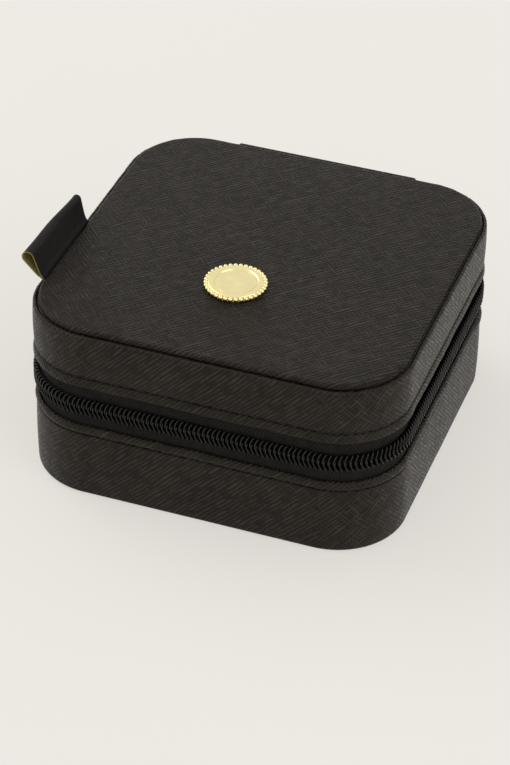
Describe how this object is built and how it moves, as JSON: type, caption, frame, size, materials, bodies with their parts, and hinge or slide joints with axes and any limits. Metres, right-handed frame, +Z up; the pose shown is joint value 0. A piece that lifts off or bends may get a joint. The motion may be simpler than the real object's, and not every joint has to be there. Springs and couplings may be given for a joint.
{
  "type": "travel jewellery case",
  "caption": "Square zip-round travel case for jewellery with a hinged padded lid, ring rolls, compartments, a lid pocket and snap tabs for chains.",
  "frame": {"origin": "middle of the base's underside, on the plane that it rests on", "axes": "+Z up through the lid, -Y towards the front, +Y towards the hinge, +X towards the right side seen from the front"},
  "size_m": [0.1062, 0.1014, 0.0581],
  "materials": {
    "leatherette": "fine cross-hatched black leatherette, satin",
    "zip_tape": "black woven polyester tape",
    "zip_coil": "black nylon coil, semi-gloss",
    "board": "grey moulded fibre board, covered on both sides",
    "foam": "soft white padding foam, covered",
    "velvet": "warm grey brushed microfibre lining",
    "satin": "warm grey satin weave",
    "pale_gold": "pale gold plated zinc, satin",
    "ribbon": "brown-black woven ribbon, olive gold inside"
  },
  "bodies": {
    "base": {"base_tub": "board", "base_band": "leatherette", "base_bottom_panel": "leatherette", "base_lining": "velvet", "lower_tape": "zip_tape", "lower_coil": "zip_coil", "roll_bed": "velvet", "ring_roll_1": "velvet", "ring_roll_2": "velvet", "ring_roll_3": "velvet", "ring_roll_4": "velvet", "ring_roll_5": "velvet", "ring_roll_6": "velvet", "long_divider": "velvet", "cross_divider_1": "velvet", "cross_divider_2": "velvet", "lower_zip_stop": "zip_coil", "hinge_strip": "leatherette", "hinge_lining": "velvet", "tape_return_left": "zip_tape", "tape_return_right": "zip_tape"},
    "lid": {"lid_tub": "board", "lid_foam": "foam", "lid_top_panel": "leatherette", "lid_band": "leatherette", "lid_welt": "leatherette", "badge_disc": "pale_gold", "badge_washer": "pale_gold", "label_loop": "ribbon", "upper_tape": "zip_tape", "upper_coil": "zip_coil", "upper_zip_stop": "zip_coil", "lid_lining": "velvet", "lid_pocket": "satin", "pocket_elastic": "satin", "tab_anchor_1": "pale_gold", "tab_anchor_2": "pale_gold", "tab_anchor_3": "pale_gold", "snap_stud_1": "pale_gold", "snap_stud_2": "pale_gold", "snap_stud_3": "pale_gold"},
    "slider": {"slider_body": "pale_gold"},
    "pull": {"pull_tab": "pale_gold"},
    "tab_1": {"necklace_tab_1": "satin", "snap_cap_1": "pale_gold"},
    "tab_2": {"necklace_tab_2": "satin", "snap_cap_2": "pale_gold"},
    "tab_3": {"necklace_tab_3": "satin", "snap_cap_3": "pale_gold"}
  },
  "joints": [
    {"name": "lid_hinge", "type": "hinge", "parent": "base", "child": "lid", "pos_m": [0, 0.0503, 0.02805], "axis": [-1, 0, 0], "range_deg": [0, 105], "deforming": ["hinge_strip", "hinge_lining", "tape_return_left", "tape_return_right"]},
    {"name": "slider_travel", "type": "slide", "parent": "base", "child": "slider", "axis": [0, -1, 0], "range_m": [0, 0.045], "deforming": ["lower_coil", "upper_coil"]},
    {"name": "pull_swing", "type": "hinge", "parent": "slider", "child": "pull", "pos_m": [-0.05383, 0.024, 0.02805], "axis": [0, 1, 0], "range_deg": [-8, 160]},
    {"name": "tab_1_swing", "type": "hinge", "parent": "lid", "child": "tab_1", "pos_m": [-0.018, -0.034, 0.0439], "axis": [-1, 0, 0], "range_deg": [0, 75]},
    {"name": "tab_2_swing", "type": "hinge", "parent": "lid", "child": "tab_2", "pos_m": [0, -0.034, 0.0439], "axis": [-1, 0, 0], "range_deg": [0, 75]},
    {"name": "tab_3_swing", "type": "hinge", "parent": "lid", "child": "tab_3", "pos_m": [0.018, -0.034, 0.0439], "axis": [-1, 0, 0], "range_deg": [0, 75]}
  ]
}
